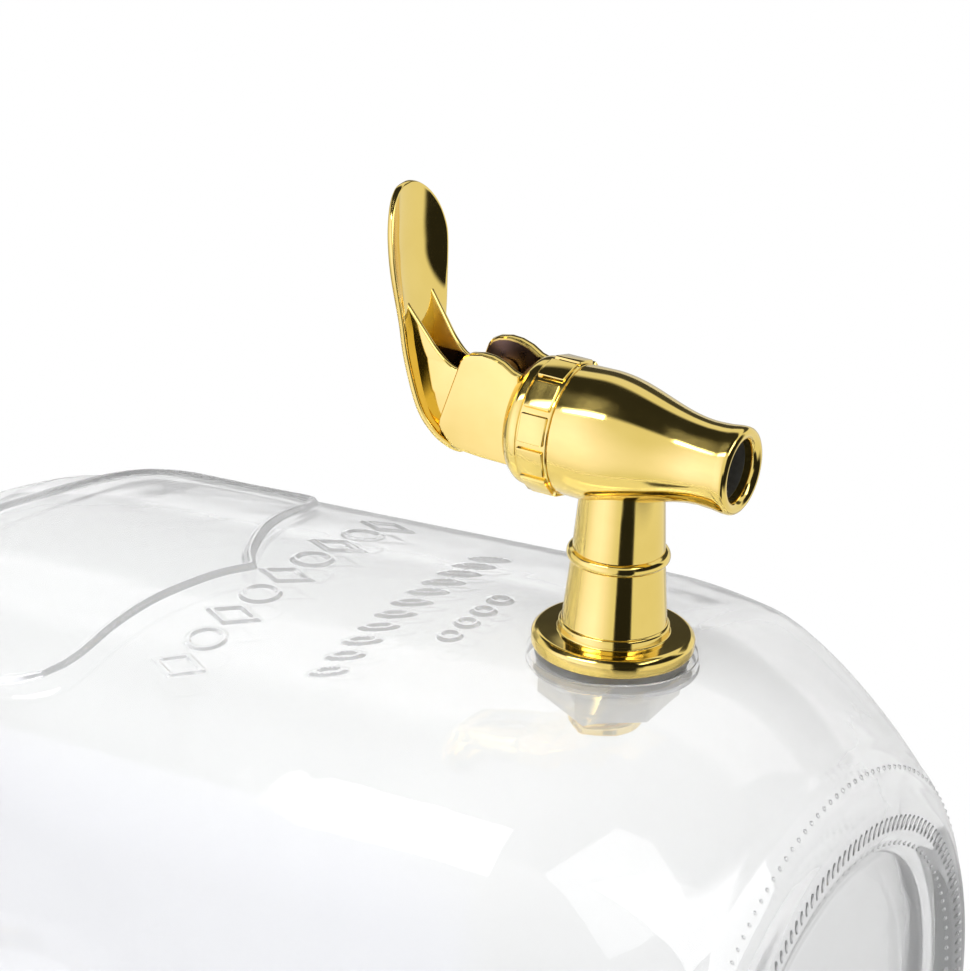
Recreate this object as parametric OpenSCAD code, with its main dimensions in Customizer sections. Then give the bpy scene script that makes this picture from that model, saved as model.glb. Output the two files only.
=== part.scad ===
// Glass laundry-liquid dispenser: a square-shouldered glass jar with a screw lid
// and a plated push-down tap. Millimetres, +Z up, tap toward -Y, origin at the
// centre of the plane that the jar stands on.

/* [Jar] */
// Distance from the jar's axis to the middle of a face, at the height of the tap
face_half = 76.7; // [65:0.1:95]
// Radius of the gently bowed faces in plan
face_bow_r = 196; // [150:1:400]
// Radius of the four upright corners in plan
corner_r = 29.5; // [20:0.5:45]
// How much each face leans inward for each millimetre of height
draft = 0.053; // [0:0.001:0.08]
// Radius of the round base that the jar stands on
base_r = 53.4; // [40:0.1:60]
// Height at which the heel has become an upright wall
heel_h = 45.4; // [25:0.1:60]
// Height at which the round base has become fully square
square_h = 68; // [50:1:90]
// Height at which the shoulder begins
shoulder_z = 189; // [165:1:240]
// Height of the shoulder
shoulder_h = 31; // [20:1:45]
// Thickness of the glass wall
glass_wall = 5; // [4:0.1:8]
// Thickness of the glass floor
floor_t = 9; // [7:0.5:14]
// Depth of the push-up under the floor
pushup_h = 3.4; // [1:0.1:5]

/* [Neck and lid] */
// Outer radius of the neck
neck_r = 49.6; // [42:0.1:56]
// Wall of the neck
neck_wall = 4.6; // [3.5:0.1:6]
// Height of the neck above the shoulder
neck_h = 20; // [15:0.5:28]
// Height of the lid's skirt
lid_skirt_h = 16; // [10:0.5:20]
// Thickness of the lid's sheet metal
lid_t = 0.8; // [0.5:0.1:1.5]
// Thickness of the sealing liner
liner_t = 1.2; // [0.8:0.1:2]

/* [Tap body] */
// Height of the tap's axis above the standing plane
tap_z = 52.5; // [48:0.5:80]
// Reach from the flange to the spout's axis
reach = 40.3; // [34:0.1:50]
// Radius of the flange
flange_r = 15; // [13:0.1:18]
// Thickness of the flange
flange_t = 3.5; // [2:0.1:5]
// Radius of the ring at the foot of the stem
foot_r = 10.2; // [9:0.1:12]
// Radius of the stem where it meets the flange
stem_foot_r = 9.75; // [8:0.05:11]
// Radius of the stem where it meets the spout
stem_top_r = 7.95; // [7:0.05:9.5]
// Distance of the stem's bead from the flange
bead_at = 18.6; // [12:0.1:24]
// Radius of the stem's bead
bead_r = 9.5; // [8.5:0.05:11]
// Length of the spout below the tap's axis
spout_drop = 23.7; // [20:0.1:30]
// Largest radius of the spout
spout_r = 12.15; // [11:0.05:14]
// Radius of the spout's waist
waist_r = 7.75; // [7:0.05:9]
// Radius of the flared lip
lip_r = 8.15; // [7.5:0.05:9.5]
// Radius of the outlet bore
outlet_r = 5.6; // [4:0.1:6]
// Length of the outlet bore, from its bevelled mouth to the throat under the valve's seat
outlet_l = 14.5; // [8:0.5:15]
// Radius of the inlet bore
inlet_r = 4.2; // [3:0.1:5]
// Radius of the threaded shank
shank_r = 7.75; // [7:0.05:8.5]
// Length of the shank behind the flange
shank_l = 17; // [14:0.5:24]

/* [Tap head] */
// Height of the spout's rim above the tap's axis
rim_z = 9.9; // [8:0.1:12]
// Height of the lock ring
ring_h = 6.3; // [4:0.1:8]
// Radius of the lock ring
ring_r = 12.6; // [11.5:0.1:14]
// Number of flats on the lock ring
flats = 12; // [8:1:16]
// Radius of the bonnet's lip
bonnet_r = 12; // [10.5:0.1:13]
// Height of the bonnet's lip
bonnet_h = 3.9; // [3:0.1:6]
// Width over the two cheeks
cheeks_w = 12.6; // [11:0.1:16]
// Thickness of each cheek
cheek_t = 2.1; // [1.6:0.1:3]
// Radius of the lever's trunnions
trunnion_r = 1.6; // [1.2:0.1:2.2]
// Distance of the pivot in front of the stem
pivot_fore = 5.5; // [4:0.1:6.5]
// Height of the pivot above the bonnet's deck
pivot_up = 6.9; // [5.8:0.1:8.5]
// Radius of the valve stem
rod_r = 2; // [1.6:0.1:2.4]

/* [Lever] */
// Half the width of the paddle
paddle_half = 10; // [8:0.1:11]
// Half the width of the lever's waist
lever_half = 6.6; // [5:0.1:7.5]
// Thickness of the lever's plate
plate_t = 1.2; // [0.8:0.1:2]
// Depth of the rim round the paddle's hollow
rim_d = 1.5; // [0.5:0.1:2.5]

/* [Hidden] */

$fn = 96;
eps = 0.02;
// Radial gap of a turning or sliding fit
run_gap = 0.05;
// Gap between parts that are assembled by hand
hand_gap = 0.3;
// Radial gap of a washer or gasket on what it is slipped over
slip_gap = 0.1;
// Facets round the jar, and rings in each of its curved zones
jar_sides = 48;
heel_rings = 8;
shoulder_rings = 7;
// Exponents of the heel's and the shoulder's curves, 2 being an ellipse
heel_pow = 1.514;
shoulder_pow = 1.3;
// Height below the shoulder over which the square outline starts to turn round
fade_h = 18;

neck_z = shoulder_z + shoulder_h;
neck_top = neck_z + neck_h;
neck_bore_r = neck_r - neck_wall;

// Seats for the two washers, cut flat into the front wall
tap_hole_r = shank_r + hand_gap;
outer_seat = 1.1;
inner_seat = 0.6;
flange_stand = 0.3;
seat_y = -(face_half - outer_seat);
inner_seat_y = -(face_half - glass_wall + inner_seat);
flange_y = -(face_half + flange_stand);
axis_y = flange_y - reach;
washer_r = flange_r - 0.8;
inner_washer_t = 2;
nut_t = 5.5;
nut_r = flange_r - 2;

// Bore steps inside the spout, measured from the tap's axis
seat_z = -6;
throat_r = outlet_r - 0.6;
mouth_bevel = 0.8;
cup_z = 4;
cup_r = spout_r - 2.45;
chamber_r = cup_r - 1.5;
seal_t = 1;
ring_z = rim_z;
lip_z = ring_z + ring_h;
deck_z = lip_z + bonnet_h;
skirt_r = cup_r - slip_gap;
skirt_bore_r = skirt_r - 2.6;
spring_top = lip_z - 2.2;
collar_z = 3;
collar_t = 1.2;
collar_r = skirt_bore_r - 0.8;
o_ring_wire = 0.85;
groove_z = lip_z - 1;
groove_h = 2 * o_ring_wire + 0.3;
groove_r = rod_r + 2 * o_ring_wire + 0.1;
pivot_z = deck_z + pivot_up;
cheek_in = cheeks_w / 2 - cheek_t;
socket_d = 1.1;
trunnion_l = 1;
hub_r = trunnion_r + 1.4;
rib_t = 1.2;
rib_out = cheek_in - hand_gap;
bar_r = 1.1;
bar_z = pivot_z - 1;
slot_gap = 0.35;

// ---- curves ----

// Lean of a face: its distance from the axis at height z
function face_at(z) = face_half - draft * (z - tap_z);

// Distance from the axis to the outline at angle a, over the face's own distance
function bulge(a) =
    let (k = face_bow_r - face_half,
         span = face_bow_r - corner_r,
         d = (-k + sqrt(2 * span * span - k * k)) / 2,
         lean = atan2(d, d + k),
         turn = atan2(face_bow_r * sin(lean), face_bow_r * cos(lean) - k),
         b = abs((a + 45) % 90 - 45),
         c = d * sqrt(2))
    (b < turn
        ? sqrt(pow(face_bow_r, 2) - pow(k * sin(b), 2)) - k * cos(b)
        : c * cos(b - 45) + sqrt(pow(corner_r, 2) - pow(c * sin(b - 45), 2))) / face_half;

function smooth(t) = let (u = min(1, max(0, t))) u * u * (3 - 2 * u);

// Squareness of the jar at height z: 0 is round, 1 is square
function square_at(z) =
    smooth(z / square_h) * (1 - smooth((z - shoulder_z + fade_h) / (shoulder_h + fade_h - 4)));

// Rings [height, face distance] of a wall whose heel starts at [z0, r0], set in by inset
function heel(z0, r0, inset) = [for (i = [0:heel_rings])
    let (t = 90 - 90 * i / heel_rings,
         z = z0 + (heel_h - z0) * (1 - pow(sin(t), 2 / heel_pow)))
    [z, r0 + (face_at(z) - inset - r0) * pow(cos(t), 2 / heel_pow)]];

function shoulder(r1, inset) = [for (i = [0:shoulder_rings])
    let (t = 90 * i / shoulder_rings,
         z = shoulder_z + shoulder_h * pow(sin(t), 2 / shoulder_pow))
    [z, r1 + (face_at(z) - inset - r1) * pow(cos(t), 2 / shoulder_pow)]];

function wall(inset) =
    [for (z = [square_h - 12, square_h, shoulder_z - fade_h, shoulder_z - fade_h / 2])
        [z, face_at(z) - inset]];

// A closed shape through rings of the jar's outline
module jar_form(rings) {
    n = jar_sides;
    last = len(rings) - 1;
    pts = [for (ring = rings) for (i = [0:n - 1])
        let (a = 360 * i / n,
             r = ring[1] * (1 + (bulge(a) - 1) * square_at(ring[0])))
        [r * sin(a), -r * cos(a), ring[0]]];
    sides = [for (k = [0:last - 1]) for (i = [0:n - 1])
        let (a = k * n + i, b = k * n + (i + 1) % n)
        [a, a + n, b + n, b]];
    ends = [[for (i = [0:n - 1]) i], [for (i = [n - 1:-1:0]) last * n + i]];
    polyhedron(points = pts, faces = concat(sides, ends), convexity = 6);
}

// Catmull-Rom curve through the points p, with m steps for each span
function curve(p, m) =
    let (n = len(p), q = concat([2 * p[0] - p[1]], p, [2 * p[n - 1] - p[n - 2]]))
    concat([for (i = [1:n - 1]) for (j = [0:m - 1])
        let (t = j / m)
        0.5 * (2 * q[i] + (q[i + 1] - q[i - 1]) * t
            + (2 * q[i - 1] - 5 * q[i] + 4 * q[i + 1] - q[i + 2]) * t * t
            + (3 * q[i] - q[i - 1] - 3 * q[i + 1] + q[i + 2]) * t * t * t)],
        [p[n - 1]]);

// The curve c moved sideways by d
function beside(c, d) = [for (i = [0:len(c) - 1])
    let (v = c[min(i + 1, len(c) - 1)] - c[max(i - 1, 0)])
    c[i] + d * [v[1], -v[0]] / norm(v)];

function reversed(c) = [for (i = [len(c) - 1:-1:0]) c[i]];

// ---- jar ----

module neck() {
    bead_low = neck_z + 1.5;
    bead_h = 3;
    bead_out = 1.7;
    rotate_extrude()
        polygon([
            [neck_bore_r - 2, neck_z - 1.5], [neck_r, neck_z - 1.5], [neck_r, bead_low],
            [neck_r + bead_out, bead_low + 0.7], [neck_r + bead_out, bead_low + bead_h - 0.7],
            [neck_r, bead_low + bead_h], [neck_r, neck_top - 1.5],
            [neck_r - 1.2, neck_top], [neck_bore_r - 2, neck_top]
        ]);
}

module jar() {
    inner_r = base_r - 7;
    ring_w = 4.5;
    ring_slope = 3.5;
    pushup_flat_r = base_r / 3;
    color([0.9, 0.95, 0.96, 0.35])
    difference() {
        union() {
            jar_form(concat(heel(0, base_r, 0), wall(0), shoulder(neck_r - 1, 0)));
            neck();
        }
        jar_form(concat(heel(floor_t, inner_r, glass_wall), wall(glass_wall),
            shoulder(neck_bore_r + 0.8, glass_wall)));
        translate([0, 0, neck_z - 1])
            cylinder(r = neck_bore_r, h = neck_h + 2);
        // push-up under the floor, inside the standing ring
        translate([0, 0, -eps])
            rotate_extrude()
                polygon([
                    [0, 0], [base_r - ring_w, 0],
                    [base_r - ring_w - ring_slope, pushup_h * 0.8],
                    [pushup_flat_r, pushup_h], [0, pushup_h]
                ]);
        // hole for the tap, with its flat seats
        translate([0, 0, tap_z]) rotate([90, 0, 0]) {
            cylinder(r = tap_hole_r, h = face_half + 20);
            translate([0, 0, -seat_y]) cylinder(r = flange_r + 0.7, h = 20);
            translate([0, 0, -inner_seat_y - 20]) cylinder(r = nut_r + 2.5, h = 20);
        }
    }
}

// ---- lid ----

lid_gap = 2.4;
lid_in_r = neck_r + lid_gap;
lid_top = neck_top + liner_t + lid_t;

module lid_cap() {
    curl = 1;
    color([0.83, 0.68, 0.26])
    rotate_extrude() {
        polygon([
            [0, lid_top - lid_t], [lid_in_r, lid_top - lid_t],
            [lid_in_r, lid_top - lid_skirt_h], [lid_in_r + lid_t, lid_top - lid_skirt_h],
            [lid_in_r + lid_t, lid_top - 1.2], [lid_in_r - 0.4, lid_top], [0, lid_top]
        ]);
        translate([lid_in_r + curl, lid_top - lid_skirt_h])
            circle(r = curl, $fn = 32);
    }
}

module lid_liner() {
    color([0.93, 0.92, 0.88])
    translate([0, 0, neck_top])
        cylinder(r = lid_in_r - 1.2, h = liner_t);
}

// ---- tap body ----

// Turns a shape made along +Z so that it runs from the flange toward the spout
module outward() translate([0, flange_y, tap_z]) rotate([90, 0, 0]) children();

// Puts a shape on the spout's own upright axis
module at_spout() translate([0, axis_y, tap_z]) children();

// Radius of the spout at height z, from its belly to its waist
belly_z = 5;
waist_z = -17;
function spout_at(z) = waist_r
    + (spout_r - waist_r) * (1 + cos(180 * (belly_z - z) / (belly_z - waist_z))) / 2;

module spout_form() {
    steps = 14;
    lip_fillet = 1.2;
    rotate_extrude()
        polygon(concat(
            [[0, rim_z], [spout_r - 0.1, rim_z]],
            [for (i = [0:steps]) let (z = belly_z + (waist_z - belly_z) * i / steps)
                [spout_at(z), z]],
            [[waist_r + 0.12, -19.5], [lip_r - 0.1, lip_fillet + 0.9 - spout_drop]],
            [for (a = [0:22.5:90])
                [lip_r - lip_fillet * (1 - cos(a)), lip_fillet * (1 - sin(a)) - spout_drop]],
            [[0, -spout_drop]]));
}

module stem_form() {
    edge = 1.1;
    end = reach - 7;
    stem_at_bead = stem_foot_r + (stem_top_r - stem_foot_r) * bead_at / (reach - spout_r);
    rotate_extrude()
        polygon([
            [0, 0], [flange_r - 0.5, 0], [flange_r, 0.5], [flange_r, flange_t - edge],
            [flange_r - 0.35, flange_t - 0.35], [flange_r - edge, flange_t],
            [foot_r, flange_t], [foot_r, flange_t + 1.3], [foot_r - 0.3, flange_t + 1.7],
            [stem_foot_r - 0.15, flange_t + 1.9], [stem_top_r - 0.1, end], [0, end]
        ]);
    translate([0, 0, bead_at])
        rotate_extrude()
            translate([stem_at_bead - 0.3, 0])
                circle(r = bead_r - stem_at_bead + 0.3, $fn = 32);
}

module tap_body() {
    color([0.86, 0.7, 0.28])
    difference() {
        union() {
            outward() stem_form();
            outward() translate([0, 0, -shank_l]) cylinder(r = shank_r, h = shank_l + 1);
            at_spout() spout_form();
        }
        outward() translate([0, 0, -shank_l - 1]) cylinder(r = inlet_r, h = shank_l + reach + 1);
        at_spout() {
            translate([0, 0, -spout_drop - 1])
                cylinder(r = outlet_r, h = outlet_l + mouth_bevel + 1);
            translate([0, 0, -spout_drop - eps])
                cylinder(r1 = outlet_r + mouth_bevel, r2 = outlet_r, h = mouth_bevel);
            translate([0, 0, -spout_drop])
                cylinder(r = throat_r, h = spout_drop);
            translate([0, 0, seat_z]) cylinder(r = chamber_r, h = cup_z - seat_z + 1);
            translate([0, 0, cup_z]) cylinder(r = cup_r, h = rim_z - cup_z + 1);
        }
    }
}

module outer_washer() {
    color([0.92, 0.93, 0.93])
    outward() translate([0, 0, flange_y - seat_y])
        difference() {
            cylinder(r = washer_r, h = seat_y - flange_y);
            translate([0, 0, -1]) cylinder(r = shank_r + slip_gap, h = seat_y - flange_y + 2);
        }
}

module inner_washer() {
    color([0.92, 0.93, 0.93])
    translate([0, inner_seat_y + inner_washer_t, tap_z]) rotate([90, 0, 0])
        difference() {
            cylinder(r = nut_r + 0.8, h = inner_washer_t);
            translate([0, 0, -1]) cylinder(r = shank_r + slip_gap, h = inner_washer_t + 2);
        }
}

module shank_nut() {
    color([0.86, 0.7, 0.28])
    translate([0, inner_seat_y + inner_washer_t + nut_t, tap_z]) rotate([90, 0, 0])
        difference() {
            union() {
                cylinder(r = nut_r, h = nut_t, $fn = 6);
                translate([0, 0, nut_t - 1.2]) cylinder(r = nut_r + 0.4, h = 1.2);
            }
            translate([0, 0, -1]) cylinder(r = shank_r + run_gap, h = nut_t + 2);
        }
}

// ---- tap head ----

module lock_ring() {
    flat_w = 2 * PI * ring_r / flats - 1.1;
    land = 0.35;
    color([0.86, 0.7, 0.28])
    at_spout() translate([0, 0, ring_z])
        difference() {
            union() {
                rotate_extrude()
                    polygon([[cup_r - 2, 0], [ring_r - 0.5, 0], [ring_r - land, 0.4],
                        [ring_r - land, ring_h - 0.4], [ring_r - 0.5, ring_h], [cup_r - 2, ring_h]]);
                for (i = [0:flats - 1]) rotate([0, 0, 360 * (i + 0.5) / flats])
                    translate([ring_r - 2, -flat_w / 2, 0.5])
                        cube([2, flat_w, ring_h - 1]);
            }
            translate([0, 0, -1]) cylinder(r = cup_r, h = ring_h + 2);
        }
}

// Side outline of a cheek, in (fore-aft, height) from the pivot
function cheek_line() = [
    [-4.5, -pivot_up - 1], [-4.9, -6.4], [-6.1, -4.4], [-6.8, -2.2], [-6.95, 0], [-6.5, 2.2],
    [-5.7, 3.6], [-4.7, 4.3], [7.4, 8], [8.7, 8.1], [9.8, 7.6], [11.4, 6.1],
    [12.4, 5], [12.75, 3.6], [13.1, -1], [13.2, -pivot_up - 1]
];

// A shape drawn in the side view and made from x0 to x1
module side_plate(x0, x1) translate([x0, 0, 0])
    rotate([90, 0, 90]) linear_extrude(height = x1 - x0) children();

module bonnet() {
    color([0.86, 0.7, 0.28])
    at_spout()
        difference() {
            union() {
                rotate_extrude()
                    polygon([
                        [0, spring_top], [skirt_bore_r, spring_top],
                        [skirt_bore_r, cup_z + seal_t], [skirt_r, cup_z + seal_t],
                        [skirt_r, lip_z], [bonnet_r - 0.2, lip_z], [bonnet_r, lip_z + 0.3],
                        [bonnet_r, lip_z + 1.6], [bonnet_r - 0.3, lip_z + 2.2],
                        [bonnet_r - 0.9, lip_z + 2.6], [bonnet_r - 1.6, lip_z + 2.8],
                        [bonnet_r - 2.2, deck_z], [0, deck_z]
                    ]);
                for (side = [-1, 1])
                    side_plate(side > 0 ? cheek_in : -cheeks_w / 2,
                               side > 0 ? cheeks_w / 2 : -cheek_in)
                        translate([-pivot_fore, pivot_z]) polygon(cheek_line());
            }
            translate([0, 0, spring_top - 1]) cylinder(r = rod_r + run_gap, h = 10);
            translate([0, 0, groove_z]) cylinder(r = groove_r, h = groove_h);
            // blind sockets for the lever's trunnions
            translate([-cheek_in - socket_d, -pivot_fore, pivot_z]) rotate([0, 90, 0])
                cylinder(r = trunnion_r + run_gap, h = 2 * (cheek_in + socket_d));
        }
}

module bonnet_seal() {
    color([0.85, 0.86, 0.86])
    at_spout() translate([0, 0, cup_z])
        difference() {
            cylinder(r = cup_r - 0.15, h = seal_t);
            translate([0, 0, -1]) cylinder(r = chamber_r + slip_gap, h = seal_t + 2);
        }
}

module stem_seal() {
    color([0.2, 0.2, 0.2])
    at_spout() translate([0, 0, groove_z + groove_h / 2])
        rotate_extrude() translate([rod_r + o_ring_wire + eps / 2, 0])
            circle(r = o_ring_wire, $fn = 24);
}

// ---- lever ----

// Outer line of the lever's plate in the side view from the pivot, from its tail to its tip
plate_line = [
    [14.25, 4.2], [13.4, 6.4], [11.1, 9.7], [6.5, 12.9], [-2.5, 15.5],
    [-10.5, 16.4], [-19.5, 17.4], [-25, 18.2], [-29.5, 19.5], [-33.6, 21.2]
];

// Half of the lever's plan, in (fore-aft, half width) from the pivot, from its tail to its tip
function lever_plan(inset) = [
    [14.8, 3.8 - inset], [12.9, 5 - inset], [10, 5.9 - inset], [5.5, lever_half - 0.2 - inset],
    [-2.5, lever_half + 0.6 - inset], [-8.5, lever_half + 1.5 - inset],
    [-13.5, paddle_half - 1.1 - inset], [-18.5, paddle_half - 0.1 - inset],
    [-24, paddle_half - inset], [-27.3 + inset / 4, paddle_half - 0.9 - inset],
    [-30 + inset / 2, paddle_half - 3 - inset], [-32.4 + inset, paddle_half - 6 - inset / 2],
    [-33.6 + inset, 0]
];

module plan_shape(inset) {
    half = curve(lever_plan(inset), 4);
    rotate([0, 0, 90])
        polygon(concat(half, [for (i = [len(half) - 2:-1:0]) [half[i][0], -half[i][1]]]));
}

// Band under the plate's outer line, between two depths
module plate_band(from, to) {
    top = curve(plate_line, 4);
    polygon(concat(from > 0 ? beside(top, -from) : top, reversed(beside(top, -to))));
}

// Side outline of a rib, from the hollow of the paddle down to the hub and the eye
function rib_line() = concat(
    curve([[-12.1, 15.6], [-8.1, 13.1], [-4.5, 10.3], [-2.1, 7.4], [-1.9, 4.5]], 3),
    [[-2.7, 1.4], [0, -0.2], [2.9, 1.3], [3.1, 3.6], [8.3, 3.6], [9.4, 6],
     [10.7, 8.6], [5.9, 12.2], [-2.1, 14.9], [-8.5, 15.7]]);

// One rib, straight between the cheeks and turned outward from there to its point
module rib(side) {
    bend = 2.5;
    splay = 7;
    lap = 0.6;
    from = side > 0 ? rib_out - rib_t : -rib_out;
    side_plate(from, from + rib_t)
        intersection() {
            polygon(rib_line());
            translate([-bend, -10]) square([30, 40]);
        }
    translate([side * rib_out, -bend, 0]) rotate([0, 0, side * splay])
        translate([-side * rib_out, bend, 0])
            side_plate(from, from + rib_t)
                intersection() {
                    polygon(rib_line());
                    translate([lap - bend - 30, -10]) square([30, 40]);
                }
}

// The curved plate, with a rim round the hollow of its paddle
module lever_plate() {
    wide = paddle_half + 1;
    tall = 30;
    long = 60;
    hollow_end = -9.5;
    rim_w = 1.1;
    intersection() {
        side_plate(-wide, wide) plate_band(0, plate_t);
        linear_extrude(height = tall) plan_shape(0);
    }
    intersection() {
        side_plate(-wide, wide) plate_band(plate_t / 2, plate_t + rim_d);
        linear_extrude(height = tall)
            difference() {
                intersection() {
                    plan_shape(eps / 2);
                    translate([-wide, -long]) square([2 * wide, long + hollow_end]);
                }
                plan_shape(rim_w);
            }
    }
}

module lever() {
    eye_w = 1.1;
    color([0.86, 0.7, 0.28])
    at_spout() translate([0, -pivot_fore, pivot_z])
        difference() {
            union() {
                lever_plate();
                for (side = [-1, 1]) {
                    rib(side);
                    side_plate(side > 0 ? rib_out - rib_t : -rib_out,
                               side > 0 ? rib_out : rib_t - rib_out) {
                        translate([pivot_fore, bar_z - pivot_z])
                            circle(r = bar_r + slot_gap + eye_w);
                        translate([pivot_fore - 1.9, 0]) square([4.2, 5]);
                    }
                }
                rotate([0, 90, 0])
                    cylinder(r = hub_r, h = 2 * rib_out, center = true);
                rotate([0, 90, 0])
                    cylinder(r = trunnion_r, h = 2 * (rib_out + trunnion_l), center = true);
            }
            translate([0, pivot_fore, bar_z - pivot_z]) rotate([0, 90, 0])
                cylinder(r = bar_r + slot_gap, h = 2 * rib_out + 2, center = true);
        }
}

// ---- valve ----

module valve_stem() {
    color([0.85, 0.85, 0.83])
    at_spout() {
        rotate_extrude()
            polygon([
                [0, collar_z - 6], [1.6, collar_z - 6], [2.2, collar_z - 5], [1.6, collar_z - 3.6],
                [1.6, collar_z], [collar_r, collar_z], [collar_r, collar_z + collar_t],
                [rod_r, collar_z + collar_t], [rod_r, bar_z + 1], [rod_r - 0.6, bar_z + 1.8],
                [0, bar_z + 1.8]
            ]);
        translate([0, 0, bar_z]) rotate([0, 90, 0])
            cylinder(r = bar_r, h = 2 * rib_out - 0.2, center = true);
    }
}

module seat_plug() {
    plug_r = chamber_r - 0.9;
    color([0.9, 0.9, 0.88])
    at_spout()
        difference() {
            rotate_extrude()
                polygon([
                    [0, seat_z - 1.4], [2.5, seat_z - 1.3], [throat_r - 1.2, seat_z - 0.7],
                    [throat_r - 0.4, seat_z],
                    [plug_r, seat_z], [plug_r, seat_z + 1.6], [plug_r - 1.6, seat_z + 3.2],
                    [5, seat_z + 5], [5, collar_z], [0, collar_z]
                ]);
            rotate_extrude()
                polygon([
                    [0, collar_z - 6.1], [1.65, collar_z - 6.1], [2.25, collar_z - 5],
                    [1.65, collar_z - 3.6], [1.65, collar_z + 1], [0, collar_z + 1]
                ]);
        }
}

// Helical wire as rings of points swept along the coil
module return_spring() {
    wire = 0.45;
    mean_r = collar_r - 1.8;
    turns = 4.5;
    around = 8;
    per_turn = 20;
    low = collar_z + collar_t + wire;
    high = spring_top - wire;
    n = turns * per_turn;
    // closed end coils: the pitch eases out of a flat turn at each end
    function rise(t) = low + (high - low) * smooth((t * turns - 0.4) / (turns - 0.8));
    pts = [for (i = [0:n]) for (j = [0:around - 1])
        let (a = 360 * i / per_turn, b = 360 * j / around, r = mean_r + wire * cos(b))
        [r * cos(a), r * sin(a), rise(i / n) + wire * sin(b)]];
    faces = concat(
        [for (i = [0:n - 1]) for (j = [0:around - 1])
            let (p = i * around + j, q = i * around + (j + 1) % around)
            [p, q, q + around, p + around]],
        [[for (j = [around - 1:-1:0]) j], [for (j = [0:around - 1]) n * around + j]]);
    color([0.75, 0.76, 0.78])
    at_spout() polyhedron(points = pts, faces = faces, convexity = 8);
}

jar();
lid_cap();
lid_liner();
tap_body();
outer_washer();
inner_washer();
shank_nut();
lock_ring();
bonnet();
bonnet_seal();
lever();
valve_stem();
seat_plug();
stem_seal();
return_spring();
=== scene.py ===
import math

import bmesh
import bpy
import numpy as np
from mathutils import Matrix, Vector


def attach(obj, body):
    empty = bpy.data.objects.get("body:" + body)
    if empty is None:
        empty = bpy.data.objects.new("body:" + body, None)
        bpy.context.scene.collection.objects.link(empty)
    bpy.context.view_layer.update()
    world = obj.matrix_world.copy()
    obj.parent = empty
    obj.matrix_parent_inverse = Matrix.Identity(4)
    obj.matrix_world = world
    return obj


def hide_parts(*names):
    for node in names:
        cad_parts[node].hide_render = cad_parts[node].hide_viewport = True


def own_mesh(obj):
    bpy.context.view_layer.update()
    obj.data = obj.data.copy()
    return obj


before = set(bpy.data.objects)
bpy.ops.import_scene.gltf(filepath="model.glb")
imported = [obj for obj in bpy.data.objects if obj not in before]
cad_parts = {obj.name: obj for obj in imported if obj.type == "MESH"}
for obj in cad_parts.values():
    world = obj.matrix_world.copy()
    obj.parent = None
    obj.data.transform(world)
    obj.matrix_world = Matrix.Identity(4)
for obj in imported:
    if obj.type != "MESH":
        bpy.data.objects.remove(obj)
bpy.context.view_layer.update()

# Glass laundry-liquid dispenser with a plated tap. Sizes are in millimetres, in the
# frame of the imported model: +Z up the jar, the tap toward -Y.
MM = 0.001

# ---- sizes shared with the part ----

FACE_HALF = 76.7
FACE_BOW_R = 196
CORNER_R = 29.5
DRAFT = 0.053
BASE_R = 53.4
HEEL_H = 45.4
SQUARE_H = 68
SHOULDER_Z = 189
SHOULDER_H = 31
FADE_H = 18
GLASS_WALL = 5
FLOOR_T = 9
PUSHUP_H = 3.4
NECK_R = 49.6
NECK_BORE_R = 45
NECK_H = 20
NECK_Z = SHOULDER_Z + SHOULDER_H
NECK_TOP = NECK_Z + NECK_H
HEEL_POW = 1.514
SHOULDER_POW = 1.3

TAP_Z = 52.5
REACH = 40.3
FLANGE_Y = -(FACE_HALF + 0.3)
AXIS_Y = FLANGE_Y - REACH
SEAT_Y = -(FACE_HALF - 1.1)
INNER_SEAT_Y = -(FACE_HALF - GLASS_WALL + 0.6)
FLANGE_R = 15
FLANGE_T = 3.5
FOOT_R = 10.2
STEM_FOOT_R = 9.75
STEM_TOP_R = 7.95
BEAD_AT = 18.6
BEAD_R = 9.5
BEAD_HALF = 1.15
SHANK_R = 7.75
SHANK_L = 17
INLET_R = 4.2
SPOUT_R = 12.15
SPOUT_DROP = 23.7
WAIST_R = 7.75
LIP_R = 8.15
OUTLET_R = 5.6
OUTLET_L = 14.5
RIM_Z = 9.9
RING_H = 6.3
RING_R = 12.6
FLATS = 12
CUP_R = 9.7
CUP_Z = 4
CHAMBER_R = 8.2
SEAT_Z = -6
BONNET_R = 12
LIP_Z = RIM_Z + RING_H
DECK_Z = LIP_Z + 3.9
CHEEKS_W = 12.6
CHEEK_T = 2.1
CHEEK_IN = CHEEKS_W / 2 - CHEEK_T
PIVOT_FORE = 5.5
PIVOT_Z = 27
TRUNNION_R = 1.6
HUB_R = 3
RIB_OUT = CHEEK_IN - 0.3
RIB_T = 1.2

# The inner faces above this height get painted shade: near-black behind this plane, a darker satin
# gold before it
SHADE_FROM_Z = TAP_Z + 20.2
DEEP_SHADE_FROM_Y = AXIS_Y - 8

TURNS = 96

# ---- mesh helpers ----


def along_tap(x, y, z):
    """A point counted from the spout's axis: x across, y fore and aft, z above the tap's axis."""
    return Vector((x, AXIS_Y + y, TAP_Z + z))


UPRIGHT = Matrix.Translation(along_tap(0, 0, 0))
OUTWARD = Matrix.Translation((0, FLANGE_Y, TAP_Z)) @ Matrix.Rotation(math.radians(90), 4, "X")


def merged(bm, near=0.002):
    bmesh.ops.remove_doubles(bm, verts=bm.verts, dist=near)
    return bm


def facing_out(bm):
    bmesh.ops.recalc_face_normals(bm, faces=bm.faces)
    return bm


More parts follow.
